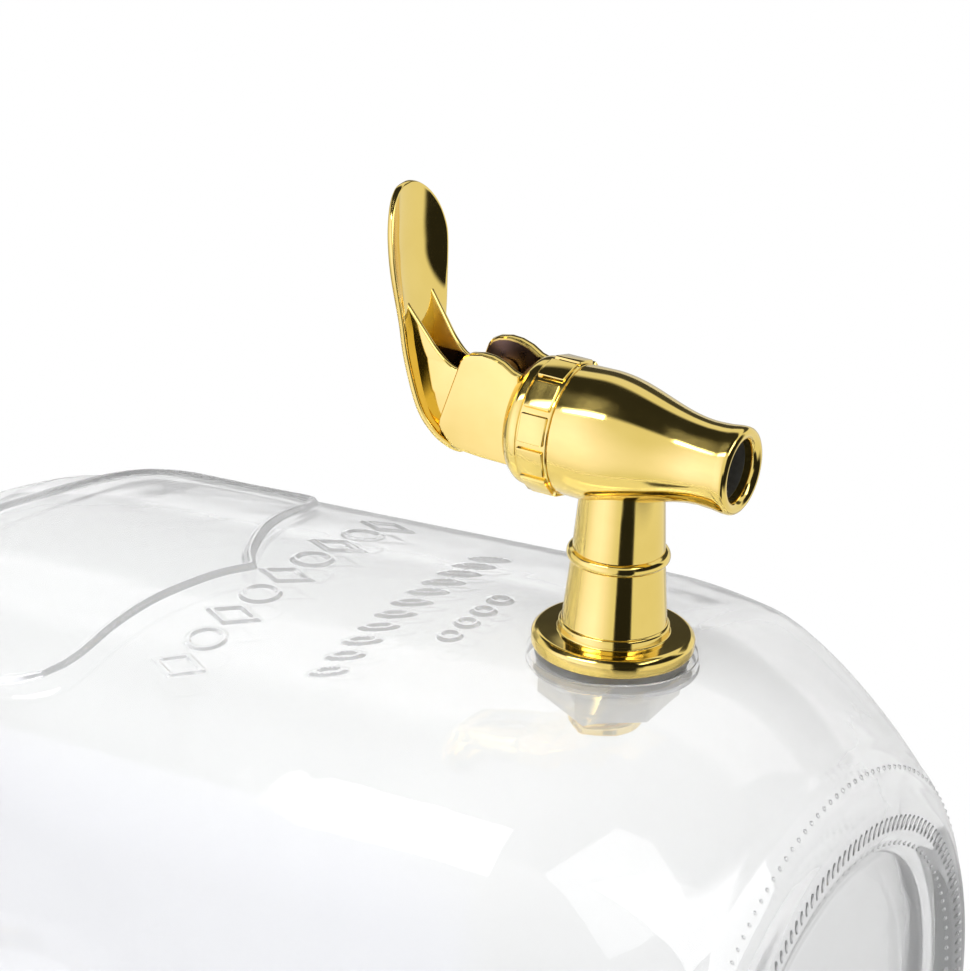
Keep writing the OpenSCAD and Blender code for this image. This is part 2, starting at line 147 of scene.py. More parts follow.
def piece(bm, name, material, body, node=None, crease=32):
    """Makes an object of a bmesh drawn in millimetres and hangs it on its body."""
    bmesh.ops.scale(bm, vec=(MM, MM, MM), verts=bm.verts)
    mesh = bpy.data.meshes.new(name)
    bm.to_mesh(mesh)
    bm.free()
    mesh.polygons.foreach_set("use_smooth", [True] * len(mesh.polygons))
    mesh.set_sharp_from_angle(angle=math.radians(crease))
    mesh.materials.append(material)
    obj = bpy.data.objects.new(name, mesh)
    bpy.context.scene.collection.objects.link(obj)
    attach(obj, body)
    if node:
        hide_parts(node)
    return obj


def paint_inner_shade(obj, low, high):
    """Paints shade on the faces that look toward X = 0 from between low and high, as rougher
    plating in darker colours.
    """
    obj.data.materials.append(DEEP_SHADE_GOLD)
    obj.data.materials.append(SATIN_SHADE_GOLD)
    for face in obj.data.polygons:
        x = face.center.x / MM
        inner = face.normal.x * x < 0 and abs(face.normal.x) > 0.9
        if inner and low < abs(x) < high and face.center.z > SHADE_FROM_Z * MM:
            face.material_index = 1 if face.center.y > DEEP_SHADE_FROM_Y * MM else 2


def add_lathe(bm, profile, place=UPRIGHT, turns=TURNS, closed=False):
    """Spins a profile of (radius, height, rounding) corners about its own upright axis."""
    wire = bmesh.new()
    corners = [wire.verts.new((r, 0, z)) for r, z, _ in profile]
    pairs = list(zip(corners, corners[1:]))
    if closed:
        pairs.append((corners[-1], corners[0]))
    for a, b in pairs:
        wire.edges.new((a, b))
    soft = [(corner, entry[2]) for corner, entry in zip(corners, profile) if entry[2]]
    for radius in sorted({r for _, r in soft}):
        bmesh.ops.bevel(wire, geom=[c for c, r in soft if r == radius], offset=radius,
                        offset_type="OFFSET", affect="VERTICES", segments=4, profile=0.5,
                        material=-1)
    bmesh.ops.spin(wire, geom=wire.verts[:] + wire.edges[:], cent=(0, 0, 0), axis=(0, 0, 1),
                   angle=2 * math.pi, steps=turns, use_merge=True)
    facing_out(merged(wire))
    bmesh.ops.transform(wire, matrix=place, verts=wire.verts)
    joined(bm, wire)
    return bm


def joined(bm, other):
    """Adds another bmesh to bm and frees it."""
    scrap = bpy.data.meshes.new("scrap")
    other.to_mesh(scrap)
    other.free()
    bm.from_mesh(scrap)
    bpy.data.meshes.remove(scrap)


def add_plate(bm, outline, low, high, soften, smooth=0):
    """Extrudes an outline drawn in the side view, (fore-aft, height), across from low to high.

    Its rims are rounded by soften and the corners of the outline by smooth.
    """
    slab = bmesh.new()
    face = slab.faces.new([slab.verts.new(along_tap(low, y, z)) for y, z in outline])
    grown = bmesh.ops.extrude_face_region(slab, geom=[face])
    moved = [v for v in grown["geom"] if isinstance(v, bmesh.types.BMVert)]
    bmesh.ops.translate(slab, vec=(high - low, 0, 0), verts=moved)
    facing_out(slab)
    if smooth:
        uprights = [e for e in slab.edges if abs(e.verts[0].co.x - e.verts[1].co.x) > 0.1]
        bmesh.ops.bevel(slab, geom=uprights, offset=smooth, affect="EDGES", segments=3,
                        profile=0.5, material=-1)
    rims = [e for e in slab.edges if abs(e.verts[0].co.x - e.verts[1].co.x) < 0.01]
    bmesh.ops.bevel(slab, geom=rims, offset=soften, affect="EDGES", segments=3,
                    profile=0.5, material=-1)
    joined(bm, slab)
    return bm


def add_rod(bm, radius, start, end):
    """A round bar straight across the tap, from start to end."""
    soften = 0.3
    across = Matrix.Rotation(math.radians(90), 4, "Y")
    length = end[0] - start[0]
    place = Matrix.Translation(along_tap(*start)) @ across
    add_lathe(bm, [(0, 0, 0), (radius, 0, soften), (radius, length, soften), (0, length, 0)],
              place, turns=32)


def smooth_step(t):
    """Eases from 0 to 1 as t goes from 0 to 1."""
    u = min(1.0, max(0.0, t))
    return u * u * (3 - 2 * u)


def curve(points, steps):
    """Catmull-Rom curve through the points, with so many steps for each span."""
    p = [Vector(q) for q in points]
    p = [2 * p[0] - p[1]] + p + [2 * p[-1] - p[-2]]
    found = []
    for i in range(1, len(p) - 2):
        for j in range(steps):
            t = j / steps
            found.append(0.5 * (2 * p[i] + (p[i + 1] - p[i - 1]) * t
                                + (2 * p[i - 1] - 5 * p[i] + 4 * p[i + 1] - p[i + 2]) * t * t
                                + (3 * p[i] - p[i - 1] - 3 * p[i + 1] + p[i + 2]) * t ** 3))
    return found + [p[-2]]


# ---- materials ----


class Recipe:
    """A Principled material with helpers for its patterns on object coordinates."""

    def __init__(self, name, **constants):
        self.material = bpy.data.materials.new(name)
        self.material.use_nodes = True
        self.nodes = self.material.node_tree.nodes
        self.links = self.material.node_tree.links
        self.shader = self.nodes["Principled BSDF"]
        self.where = self.nodes.new("ShaderNodeTexCoord").outputs["Object"]
        for socket, value in constants.items():
            self.shader.inputs[socket.replace("_", " ")].default_value = value

    def noise(self, scale, detail=3.0, stretch=(1, 1, 1)):
        """Noise of a scale per metre, stretched along the axes."""
        mapping = self.nodes.new("ShaderNodeMapping")
        mapping.inputs["Scale"].default_value = stretch
        self.links.new(self.where, mapping.inputs["Vector"])
        node = self.nodes.new("ShaderNodeTexNoise")
        node.inputs["Scale"].default_value = scale
        node.inputs["Detail"].default_value = detail
        self.links.new(mapping.outputs["Vector"], node.inputs["Vector"])
        return node.outputs["Fac"]

    def ramp(self, value, stops):
        """Turns a value into a colour by stops of (position, colour)."""
        node = self.nodes.new("ShaderNodeValToRGB")
        elements = node.color_ramp.elements
        while len(elements) < len(stops):
            elements.new(0.5)
        for element, (at, colour) in zip(elements, stops):
            element.position = at
            element.color = (*colour, 1)
        self.links.new(value, node.inputs["Fac"])
        return node.outputs["Color"]

    def between(self, value, low, high):
        """Maps the middle of a noise to the range from low to high."""
        node = self.nodes.new("ShaderNodeMapRange")
        node.inputs["From Min"].default_value = 0.3
        node.inputs["From Max"].default_value = 0.7
        node.inputs["To Min"].default_value = low
        node.inputs["To Max"].default_value = high
        self.links.new(value, node.inputs["Value"])
        return node.outputs["Result"]

    def feed(self, socket, output):
        self.links.new(output, self.shader.inputs[socket])

    def bump(self, *heights):
        """Adds bumps, each (height output, depth in millimetres, strength)."""
        last = None
        for height, depth, strength in heights:
            node = self.nodes.new("ShaderNodeBump")
            node.inputs["Distance"].default_value = depth * MM
            node.inputs["Strength"].default_value = strength
            self.links.new(height, node.inputs["Height"])
            if last:
                self.links.new(last, node.inputs["Normal"])
            last = node.outputs["Normal"]
        self.links.new(last, self.shader.inputs["Normal"])


def glass_material():
    m = Recipe("clear_glass", Transmission_Weight=0.82, IOR=1.5, Roughness=0.03,
               Specular_IOR_Level=0.28)
    m.feed("Base Color", m.ramp(m.noise(9), [(0.3, (0.985, 0.992, 0.992)), (0.7, (1, 1, 1))]))
    m.bump((m.noise(38, 2), 0.5, 0.35), (m.noise(160, 2), 0.08, 0.2))
    return m.material


def surface(name, colour, roughness, bumps, stretch=(1, 1, 1), **constants):
    """A material whose colour and roughness drift a little, with fine bumps.

    The colour is (scale, detail, dark, light), the roughness (scale, detail, low, high) and each
    bump (scale, detail, depth in millimetres, strength).
    """
    m = Recipe(name, **constants)
    scale, detail, dark, light = colour
    m.feed("Base Color", m.ramp(m.noise(scale, detail), [(0.3, dark), (0.7, light)]))
    scale, detail, low, high = roughness
    m.feed("Roughness", m.between(m.noise(scale, detail, stretch), low, high))
    m.bump(*((m.noise(scale, detail), depth, strength) for scale, detail, depth, strength in bumps))
    return m.material


GLASS = glass_material()
GOLD = surface("gold_plate", (120, 3, (0.865, 0.65, 0.175), (0.90, 0.685, 0.20)),
               (260, 4, 0.05, 0.11), [(180, 2, 0.03, 0.25), (1500, 3, 0.004, 0.3)], Metallic=1.0)
# Painted shade: near-black, rough plating deep in the slot between the cheeks and between the ribs
DEEP_SHADE_GOLD = surface("deep_shade_plating", (200, 3, (0.10, 0.062, 0.042), (0.16, 0.10, 0.06)),
                    (300, 4, 0.24, 0.36), [(1500, 3, 0.004, 0.3)], Metallic=1.0)
# Rougher satin plating, with painted shade darkening it where the ribs face each other
SATIN_SHADE_GOLD = surface("satin_shade_plating", (200, 3, (0.74, 0.53, 0.12), (0.80, 0.58, 0.15)),
                     (300, 4, 0.26, 0.38), [(1500, 3, 0.004, 0.3)], Metallic=1.0)
LID_LACQUER = surface("lid_lacquer", (60, 4, (0.80, 0.60, 0.24), (0.87, 0.67, 0.29)),
                      (300, 4, 0.22, 0.34), [(1400, 4, 0.02, 0.4)], Metallic=1.0)
LINER = surface("liner_compound", (700, 3, (0.80, 0.785, 0.73), (0.86, 0.85, 0.80)),
                (400, 3, 0.5, 0.62), [(900, 3, 0.03, 0.4)])
SILICONE = surface("silicone", (500, 3, (0.86, 0.87, 0.87), (0.92, 0.93, 0.93)),
                   (600, 3, 0.32, 0.44), [(1200, 3, 0.02, 0.35)],
                   Transmission_Weight=0.85, IOR=1.41)
RUBBER = surface("dark_rubber", (900, 4, (0.022, 0.022, 0.023), (0.045, 0.045, 0.046)),
                 (700, 3, 0.5, 0.65), [(1500, 4, 0.02, 0.4)])
ACETAL = surface("acetal", (420, 3, (0.66, 0.645, 0.59), (0.74, 0.725, 0.67)),
                 (500, 3, 0.3, 0.42), [(900, 3, 0.01, 0.4)])
SPRING = surface("spring_steel", (800, 4, (0.48, 0.49, 0.51), (0.62, 0.63, 0.65)),
                 (900, 4, 0.2, 0.34), [(2400, 4, 0.006, 0.4)], stretch=(1, 1, 6), Metallic=1.0)
# Near-black lining for the outlet bore: painted shade inside the hole
BORE_SHADE_PAINT = surface("painted_bore_shade", (900, 4, (0.10, 0.10, 0.092), (0.14, 0.14, 0.13)),
                    (600, 3, 0.45, 0.6), [(1600, 4, 0.02, 0.4)], Metallic=0.4)

# The CAD nodes that are seen as they are
for node, material in {
    "lid_liner": LINER, "outer_washer": SILICONE, "inner_washer": SILICONE,
    "shank_nut": ACETAL, "bonnet_seal": SILICONE, "seat_plug": SILICONE, "stem_seal": RUBBER,
    "valve_stem": ACETAL,
}.items():
    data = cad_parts[node].data
    data.materials.clear()
    data.materials.append(material)

# ---- the jar ----


def face_at(z):
    """Distance of the front face from the jar's axis at a height."""
    return FACE_HALF - DRAFT * (z - TAP_Z)


def bulge(angle):
    """Distance to the outline at an angle from the front, over the face's own distance."""
    k = FACE_BOW_R - FACE_HALF
    span = FACE_BOW_R - CORNER_R
    d = (-k + math.sqrt(2 * span * span - k * k)) / 2
    lean = math.atan2(d, d + k)
    turn = math.atan2(FACE_BOW_R * math.sin(lean), FACE_BOW_R * math.cos(lean) - k)
    quarter = math.pi / 4
    b = abs((angle + quarter) % (2 * quarter) - quarter)
    if b < turn:
        return (math.sqrt(FACE_BOW_R ** 2 - (k * math.sin(b)) ** 2) - k * math.cos(b)) / FACE_HALF
    c = d * math.sqrt(2)
    corner = math.sqrt(CORNER_R ** 2 - (c * math.sin(b - quarter)) ** 2)
    return (c * math.cos(b - quarter) + corner) / FACE_HALF


def square_at(z):
    """How square the section is at a height: 0 round, 1 square."""
    fade = (z - SHOULDER_Z + FADE_H) / (SHOULDER_H + FADE_H - 4)
    return smooth_step(z / SQUARE_H) * (1 - smooth_step(fade))


def heel(z0, r0, inset, rings):
    """Rows (height, radius) of the heel, from a foot at (z0, r0) up to the wall."""
    found = []
    for i in range(rings + 1):
        t = math.radians(90 - 90 * i / rings)
        z = z0 + (HEEL_H - z0) * (1 - math.sin(t) ** (2 / HEEL_POW))
        out = math.cos(t) ** (2 / HEEL_POW) if i else 0.0
        found.append((z, r0 + (face_at(z) - inset - r0) * out))
    return found


def wall(inset, step):
    """Rows (height, radius) of the straight wall, about a step apart."""
    rows = round((SHOULDER_Z - HEEL_H) / step)
    heights = [HEEL_H + (SHOULDER_Z - HEEL_H) * i / rows for i in range(1, rows)]
    return [(z, face_at(z) - inset) for z in heights]


def shoulder(r1, inset, rings):
    """Rows (height, radius) of the shoulder, from the wall in to a neck of radius r1."""
    found = []
    for i in range(rings + 1):
        t = math.radians(90 * i / rings)
        z = SHOULDER_Z + SHOULDER_H * math.sin(t) ** (2 / SHOULDER_POW)
        inward = math.cos(t) ** (2 / SHOULDER_POW) if i < rings else 0.0
        found.append((z, r1 + (face_at(z) - inset - r1) * inward))
    return found


def arc(cz, cr, radius, start, end, steps):
    """Rows (height, radius) of an arc, with its angles in degrees."""
    return [(cz + radius * math.sin(math.radians(start + (end - start) * i / steps)),
             cr + radius * math.cos(math.radians(start + (end - start) * i / steps)))
            for i in range(steps + 1)]


# How far the standing ring's glass lies above the floor, which leaves room for its marks
STIPPLE_H = 0.3

# A low band round the heel, between these two radii, with the outermost row of dots on it
BAND_H = 0.3
BAND_FROM = 58.6
BAND_TO = 64.2

# Rings in the outer heel and the outer shoulder
HEEL_RINGS = 60
SHOULDER_RINGS = 26


def banded(rows):
    """The heel's rows with a low raised band round them, its edges eased."""
    found = []
    for i, (z, r) in enumerate(rows):
        below, above = rows[max(0, i - 1)], rows[min(len(rows) - 1, i + 1)]
        run = Vector((above[1] - below[1], above[0] - below[0])).normalized()
        proud = BAND_H * smooth_step(r - BAND_FROM) * smooth_step(BAND_TO - r)
        found.append((z - run.x * proud, r + run.y * proud))
    return found


def outer_section():
    """The outside of the glass from the middle of the push-up to the neck."""
    ring_mid = BASE_R - 2.2
    push = [(PUSHUP_H, 0.0), (PUSHUP_H, 12), (PUSHUP_H - 0.15, 22), (PUSHUP_H - 0.4, 32),
            (PUSHUP_H * 0.8, 39.5), (PUSHUP_H * 0.72, 43), (PUSHUP_H * 0.5, 45.6), (1.0, 47.4)]
    foot = [(STIPPLE_H + 0.15, 48.6), (STIPPLE_H, ring_mid - 1.6), (STIPPLE_H, ring_mid),
            (STIPPLE_H, BASE_R - 0.8)]
    rise = [(z, r) for z, r in heel(0, BASE_R, 0, HEEL_RINGS) if z > STIPPLE_H + 0.2]
    return push + foot + banded(rise) + wall(0, 2.4) + shoulder(NECK_R, 0, SHOULDER_RINGS)


def neck_section():
    """The neck with its bead, over the rim and down its bore."""
    bead = NECK_Z + 1.5
    rows = [(bead, NECK_R)] + arc(bead + 1.5, NECK_R + 0.3, 1.4, -80, 80, 6)
    rows += [(bead + 3, NECK_R), (bead + 5, NECK_R), (NECK_TOP - 5, NECK_R)]
    rows += arc(NECK_TOP - 1.5, NECK_R - 1.5, 1.5, 0, 90, 6)
    rows += arc(NECK_TOP - 1.2, NECK_BORE_R + 1.2, 1.2, 90, 180, 6)
    return rows + [(NECK_TOP - 8, NECK_BORE_R), (NECK_Z + 3, NECK_BORE_R)]


def inner_section():
    """The inside of the glass from the neck down to the middle of the floor."""
    inner_r = BASE_R - 7
    down = shoulder(NECK_BORE_R, GLASS_WALL, 16)[::-1][1:]
    down += wall(GLASS_WALL, 8)[::-1]
    down += heel(FLOOR_T, inner_r, GLASS_WALL, 18)[::-1]
    return down + [(FLOOR_T, 30), (FLOOR_T, 12), (FLOOR_T, 0.0)]


OUTER = outer_section()
SECTION = OUTER + neck_section() + inner_section()
COLUMNS = 160

# Half of the raised panel line on the front, as (across, height), from its lower point round to
# its upper one
PANEL_HALF = (
    curve([(0, 129.2), (5, 132.6), (12, 135.6), (21, 138.5), (31, 140.2), (41, 140.9),
           (46.6, 142.4)], 5)[:-1]
    + curve([(48.6, 144), (50.8, 147.6), (52, 152), (52.2, 159), (51.4, 168), (49.6, 175.5)],
            5)[:-1]
    + curve([(47.4, 179.4), (41, 181), (30, 181.6), (20, 182.6), (10, 184.2), (0, 186.8)], 5)
)
RIDGE_H = 1.0
RIDGE_HALF_W = 1.25

# Rows of plain raised motifs between the panel and the tap: height, count, pitch, size, kind
MOTIF_ROWS = [
    (121.4, 9, 9.6, 4.3, "lozenge_ring"),
    (94.5, 11, 6.1, 2.5, "leaf"),
    (81.0, 4, 6.4, 2.3, "ring"),
]
MOTIF_H = 0.4
STROKE_HALF_W = 0.8

# Heights between which the front has raised lines, and how many rows into the shoulder they reach
RELIEF_LOW = 72
RELIEF_HIGH = 192
RELIEF_ROWS_UP = 6
# How near to a raised line the grid is split, round by round
REFINE_WITHIN = (2.4, 1.2, 0.5)


def distance_to_line(points, line):
    """Distance of each point to a chain of segments, in the plane of the front."""
    best = np.full(len(points), 1e9)
    for a, b in zip(line, line[1:]):
        a, b = np.array(a[:]), np.array(b[:])
        d = b - a
        t = np.clip(((points - a) @ d) / max(d @ d, 1e-9), 0, 1)
        best = np.minimum(best, np.linalg.norm(points - (a + t[:, None] * d), axis=1))
    return best


def motif_distances(points):
    """Distance of each point to the nearest stroke of the motifs."""
    best = np.full(len(points), 1e9)
    for height, count, pitch, size, kind in MOTIF_ROWS:
        for i in range(count):
            x = points[:, 0] - (i - (count - 1) / 2) * pitch
            z = points[:, 1] - height
            near = (abs(x) < size * 2) & (abs(z) < size * 2)
            if kind == "ring" or (kind == "lozenge_ring" and i % 2):
                found = abs(np.hypot(x, z) - size * 0.8)
            elif kind == "lozenge_ring":
                found = abs((abs(x) * 1.25 + abs(z) * 0.8) - size * 0.95) / 1.48
            else:
                lean = (x + z * 0.5) / 0.9
                found = abs(np.hypot(lean * 1.9, z) - size) / 1.5
            best = np.where(near, np.minimum(best, found), best)
    return best


def swell(distances, half_width, height):
    """Height of a rounded ridge at each distance from its middle."""
    return height * np.cos(np.clip(distances / half_width, 0, 1) * math.pi / 2) ** 1.4


def relief(points):
    """How far the glass stands proud at each (across, height) of the front.

    The distances to the panel line and to the motifs come with it.
    """
    line = PANEL_HALF + [Vector((-p[0], p[1])) for p in reversed(PANEL_HALF[:-1])]
    ridge = distance_to_line(points, line)
    marks = motif_distances(points)
    proud = swell(ridge, RIDGE_HALF_W, RIDGE_H) + swell(marks, STROKE_HALF_W, MOTIF_H)
    return proud, ridge, marks


def section_at(v):
    """The jar's section at row v, whole or in between."""
    i = min(int(v), len(SECTION) - 2)
    t = v - i
    return tuple(a + (b - a) * t for a, b in zip(SECTION[i], SECTION[i + 1]))


def on_jar(u, v):
    """The jar's surface at column u and row v, both counted along the flat grid."""
    angle = 2 * math.pi * u / COLUMNS - math.pi
    z, r = section_at(v)
    r *= 1 + (bulge(angle) - 1) * square_at(z)
    return Vector((r * math.sin(angle), -r * math.cos(angle), z))


def refine(bm, rounds):
    """Splits the flat grid's faces where the raised lines will be, round by round."""
    wall_rows = len(OUTER) - SHOULDER_RINGS
    for reach in rounds:
        chosen = []
        centres = []
        for face in bm.faces:
            c = face.calc_center_median()
            if c.y < wall_rows and abs(c.x - COLUMNS / 2) < COLUMNS / 8:
                p = on_jar(c.x, c.y)
                if RELIEF_LOW < p.z < RELIEF_HIGH:
                    chosen.append(face)
                    centres.append((p.x, p.z))
        _, ridge, marks = relief(np.array(centres))
        near = [f for f, a, b in zip(chosen, ridge, marks)
                if a < RIDGE_HALF_W + reach or b < STROKE_HALF_W + reach]
        edges = {e for f in near for e in f.edges}
        bmesh.ops.subdivide_edges(bm, edges=list(edges), cuts=1, use_grid_fill=True)


def jar_mesh():
    """The whole jar: a flat grid, split along the raised lines and wrapped onto its section."""
    rows = len(SECTION) - 1
    bm = bmesh.new()
    bmesh.ops.create_grid(bm, x_segments=COLUMNS, y_segments=rows, size=0.5)
    for v in bm.verts:
        v.co = ((v.co.x + 0.5) * COLUMNS, (v.co.y + 0.5) * rows, 0)
    refine(bm, REFINE_WITHIN)
    flat = [v.co.copy() for v in bm.verts]
    wrapped = [on_jar(c.x, c.y) for c in flat]
    proud, _, _ = relief(np.array([(p.x, p.z) for p in wrapped]))
    relief_rows = len(OUTER) - SHOULDER_RINGS + RELIEF_ROWS_UP
    for v, c, p, h in zip(bm.verts, flat, wrapped, proud):
        on_front = c.y < relief_rows and p.y < 0 and p.z > RELIEF_LOW
        v.co = p + Vector((0, -h, 0)) if on_front else p
    merged(bm)
    return facing_out(bm)


def tap_hole():
    """The cutter for the tap's hole with its flat seats outside and inside the wall."""
    beyond = 12
    outer, inner = FLANGE_Y - SEAT_Y, FLANGE_Y - INNER_SEAT_Y
    seat_r, hole_r, inner_seat_r = FLANGE_R + 0.7, SHANK_R + 0.3, 15.5
    return add_lathe(bmesh.new(), [
        (0, beyond, 0), (seat_r, beyond, 0), (seat_r, outer, 0), (hole_r, outer, 0),
        (hole_r, inner, 0), (inner_seat_r, inner, 0), (inner_seat_r, inner - beyond, 0),
        (0, inner - beyond, 0)], OUTWARD)


def cut_by(bm, cutter):
    """Takes one bmesh away from another, both closed, and gives back the rest."""
    meshes = []
    for shape in (bm, cutter):
        mesh = bpy.data.meshes.new("scrap")
        shape.to_mesh(mesh)
        shape.free()
        meshes.append(mesh)
    whole, tool = (bpy.data.objects.new("scrap", m) for m in meshes)
    for obj in (whole, tool):
        bpy.context.scene.collection.objects.link(obj)
    step = whole.modifiers.new("cut", "BOOLEAN")
    step.operation = "DIFFERENCE"
    step.solver = "EXACT"
    step.object = tool
    graph = bpy.context.evaluated_depsgraph_get()
    found = bmesh.new()
    found.from_mesh(whole.evaluated_get(graph).to_mesh())
    for obj in (whole, tool):
        bpy.data.objects.remove(obj)
    for mesh in meshes:
        bpy.data.meshes.remove(mesh)
    return found


piece(cut_by(jar_mesh(), tap_hole()), "jar_glass", GLASS, "jar_and_tap", "jar", 40)


def add_bars(bm, radius, count, length, width, height, lean, level=0.0):
    """Short bars in a circle round the jar, each leaning by so many degrees from the radius."""
    for i in range(count):
        bar = bmesh.new()
        bmesh.ops.create_icosphere(bar, subdivisions=1, radius=1)
        bmesh.ops.scale(bar, vec=(width / 2, length / 2, height), verts=bar.verts)
        place = (Matrix.Rotation(2 * math.pi * i / count, 4, "Z")
                 @ Matrix.Translation((0, radius, height + level))
                 @ Matrix.Rotation(math.radians(lean), 4, "Z"))
        bmesh.ops.transform(bar, matrix=place, verts=bar.verts)
        joined(bm, bar)


def ring_marks():
    """The knurled band under the standing ring, the dots inside it and those round the heel."""
    bm = bmesh.new()
    add_bars(bm, BASE_R - 1.6, count=150, length=3.6, width=1.3, height=0.42, lean=18)
    add_bars(bm, BASE_R - 5.6, count=120, length=1.1, width=1.1, height=0.45, lean=0, level=0.5)
    add_bars(bm, BASE_R + 7.6, count=150, length=1.3, width=0.8, height=0.5, lean=12, level=4.1)
    return bm


piece(ring_marks(), "standing_ring_marks", GLASS, "jar_and_tap", crease=80)


def add_thread(bm, radius, pitch, start_z, turns, depth, per_turn=72, place=Matrix.Identity(4)):
    """A round-topped thread: a circle carried along a helix that fades in and out at its ends."""
    helix = bmesh.new()
    bmesh.ops.create_grid(helix, x_segments=6, y_segments=int(turns * per_turn), size=0.5)
    for v in helix.verts:
        around = (v.co.x + 0.5) * 2 * math.pi
        t = v.co.y + 0.5
        a = 2 * math.pi * turns * t
        half = depth * min(1, 12 * t, 12 * (1 - t))
        r = radius + half * math.cos(around)
        z = start_z + pitch * turns * t + 0.8 * half * math.sin(around)
        v.co = (r * math.cos(a), r * math.sin(a), z)
    facing_out(merged(helix, 0.0005))
    bmesh.ops.transform(helix, matrix=place, verts=helix.verts)
    joined(bm, helix)
    return bm


neck_thread = add_thread(bmesh.new(), NECK_R, pitch=6, start_z=NECK_Z + 7, turns=1.3, depth=1.1)
piece(neck_thread, "neck_thread", GLASS, "jar_and_tap", crease=80)

# ---- the lid ----


def lid_shape():
    """A pressed metal lid with a shallow groove on top and a rolled edge."""
    in_r, thick, top, groove = NECK_R + 2.4, 0.8, NECK_TOP + 2, 0.35
    low = top - 16
    roll_r, roll_low = in_r + 2, low - 0.9
    return add_lathe(bmesh.new(), [
        (0, top, 0), (in_r - 9, top, 0), (in_r - 7.5, top - groove, 0.3),
        (in_r - 5.5, top - groove, 0.3), (in_r - 4, top, 0.3), (in_r + thick, top, 1.3),
        (in_r + thick, low + 1.6, 0.3), (roll_r, low + 1.4, 0.6), (roll_r, roll_low, 0.6),
        (in_r, roll_low, 0.3), (in_r, top - thick, 0.6), (0, top - thick, 0)],
        Matrix.Identity(4), 160)


piece(lid_shape(), "lid_shell", LID_LACQUER, "cap", "lid_cap")

# ---- the tap's body ----

BELLY_Z = 5.0
WAIST_Z = -17.0


def spout_at(z):
    """Radius of the spout at a height, from its belly down to its waist."""
    share = (BELLY_Z - z) / (BELLY_Z - WAIST_Z)
    return WAIST_R + (SPOUT_R - WAIST_R) * (1 + math.cos(math.pi * share)) / 2


def spout_profile():
    """Section of the spout: outside from its belly to the lip, then the bore up to the cup."""
    steps = 24
    heights = [BELLY_Z + (WAIST_Z - BELLY_Z) * i / steps for i in range(steps + 1)]
    side = [(spout_at(z), z, 0) for z in heights]
    lip = [(WAIST_R + 0.12, -19.5, 0), (LIP_R, 2.1 - SPOUT_DROP, 0.4), (LIP_R, -SPOUT_DROP, 1.1),
           (OUTLET_R + 0.8, -SPOUT_DROP, 0.5), (OUTLET_R, 1 - SPOUT_DROP, 0.4)]
    bore = [(OUTLET_R, OUTLET_L - SPOUT_DROP, 0.2), (OUTLET_R - 0.6, OUTLET_L - SPOUT_DROP, 0.2),
            (OUTLET_R - 0.6, SEAT_Z, 0.2), (CHAMBER_R, SEAT_Z, 0.2), (CHAMBER_R, CUP_Z, 0.2),
            (CUP_R, CUP_Z, 0.2), (CUP_R, RIM_Z, 0.2), (SPOUT_R - 0.1, RIM_Z, 0.3)]
    return side + lip + bore


def stem_profile():
    """Section of the stem: shank, flange, foot ring, taper, bead and top, with the inlet bore."""
    end = REACH - 7
    run = REACH - SPOUT_R
    slope = (STEM_TOP_R - STEM_FOOT_R) / run
    at_bead = STEM_FOOT_R + slope * BEAD_AT
    bead = []
    for dz in (-BEAD_HALF, -1.0, -0.8, -0.5, -0.2, 0.2, 0.5, 0.8, 1.0, BEAD_HALF):
        round_share = math.sqrt(max(0, 1 - (dz / BEAD_HALF) ** 2))
        bead.append((at_bead + slope * dz + (BEAD_R - at_bead) * round_share, BEAD_AT + dz, 0))
    return ([(INLET_R, -SHANK_L, 0.2), (SHANK_R - 0.8, -SHANK_L, 0.5), (SHANK_R - 0.8, -0.2, 0.2),
             (FLANGE_R - 0.4, 0, 0.3), (FLANGE_R, 0.6, 0.35), (FLANGE_R, FLANGE_T - 0.9, 0.4),
             (FLANGE_R - 0.9, FLANGE_T, 0.4), (FOOT_R + 0.1, FLANGE_T, 0.3),
             (FOOT_R, FLANGE_T + 1.7, 0.4), (STEM_FOOT_R - 0.1, FLANGE_T + 1.9, 0.15)]
            + bead + [(STEM_FOOT_R + slope * end, end, 0), (INLET_R, end, 0.1)])


def tap_shape():
    """The casting: the spout, the stem with its flange, and the thread on the shank."""
    bm = bmesh.new()
    add_lathe(bm, spout_profile(), UPRIGHT, 128, closed=True)
    add_lathe(bm, stem_profile(), OUTWARD, 128, closed=True)
    return add_thread(bm, SHANK_R - 0.75, pitch=1.5, start_z=-SHANK_L + 1, turns=10, depth=0.72,
                      per_turn=48, place=OUTWARD)


piece(tap_shape(), "tap_casting", GOLD, "jar_and_tap", "tap_body", 26)


def bore_lining_shape():
    """A thin dark lining of painted shade inside the outlet bore, from behind the lip up to the
    throat.
    """
    low, high = 2.6 - SPOUT_DROP, OUTLET_L - SPOUT_DROP - 0.2
    inside, buried = OUTLET_R - 0.06, OUTLET_R + 0.1
    return add_lathe(bmesh.new(), [(inside, low, 0), (buried, low, 0), (buried, high, 0),
                                   (inside, high, 0)], UPRIGHT, closed=True)


piece(bore_lining_shape(), "outlet_bore_painted_shade", BORE_SHADE_PAINT, "jar_and_tap")

# ---- the lock ring ----


